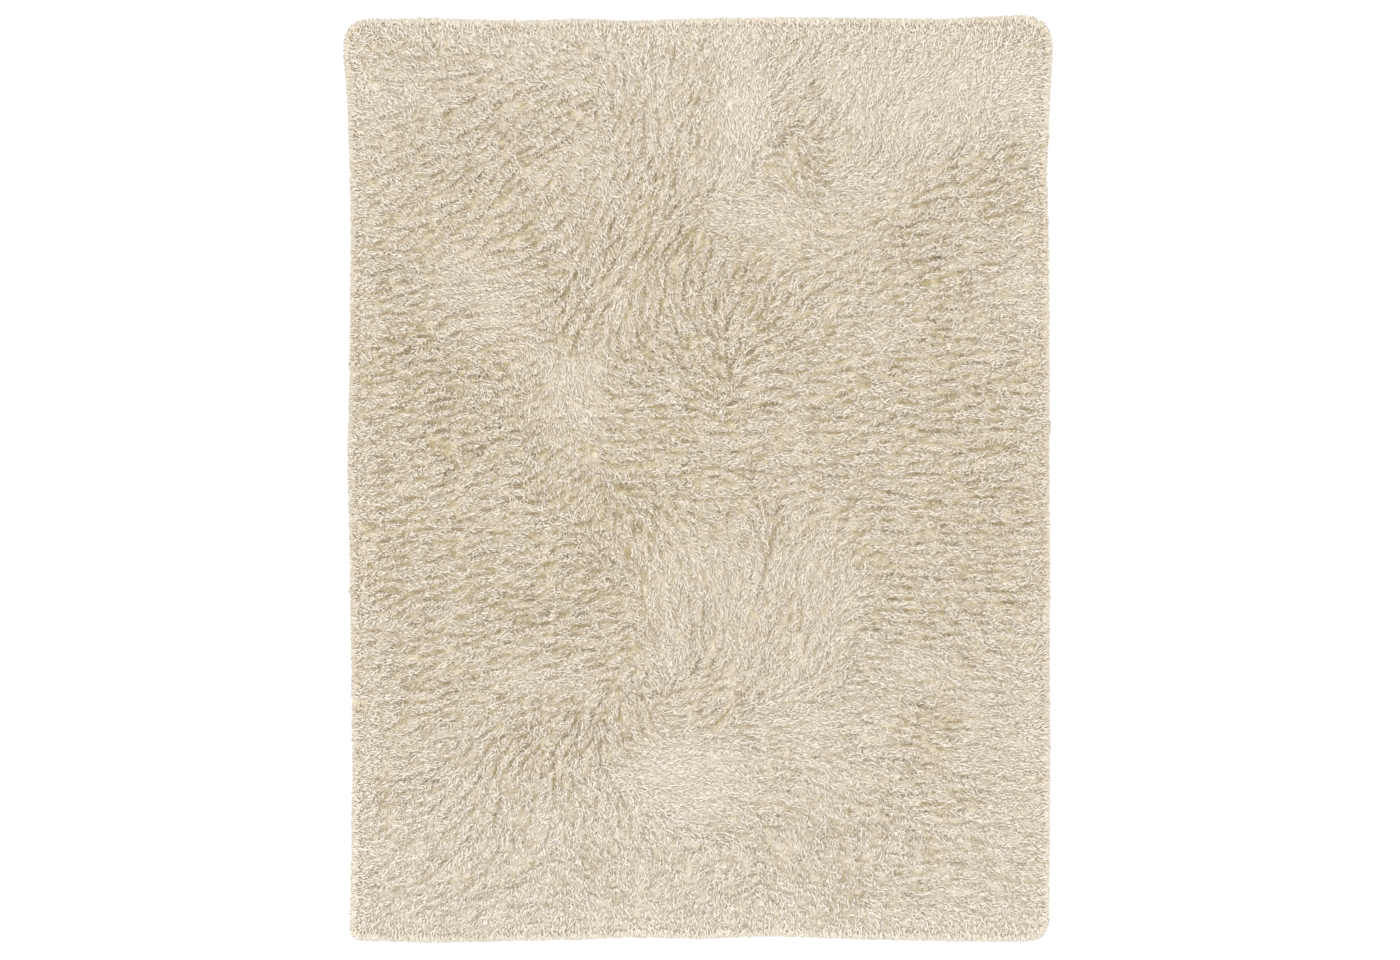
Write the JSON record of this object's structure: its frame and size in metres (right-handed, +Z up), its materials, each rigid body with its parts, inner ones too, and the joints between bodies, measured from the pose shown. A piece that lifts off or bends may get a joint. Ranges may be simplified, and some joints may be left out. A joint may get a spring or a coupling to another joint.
{
  "type": "shag rug",
  "caption": "Rectangular long-pile shag rug of cream wool, lying flat, with a lumpy tufted top, rounded corners and soft locks that fall to the floor round its rim.",
  "frame": {"origin": "centre of the rug's flat underside, where it lies on the floor", "axes": "+X across the rug, +Y along it, +Z up through the pile"},
  "size_m": [1.53, 2, 0.0497],
  "materials": {
    "wool_pile": "matt long wool pile in felted locks, cream at the tips and tan at the roots"
  },
  "bodies": {
    "root": {"shag_rug": "wool_pile"}
  },
  "joints": []
}
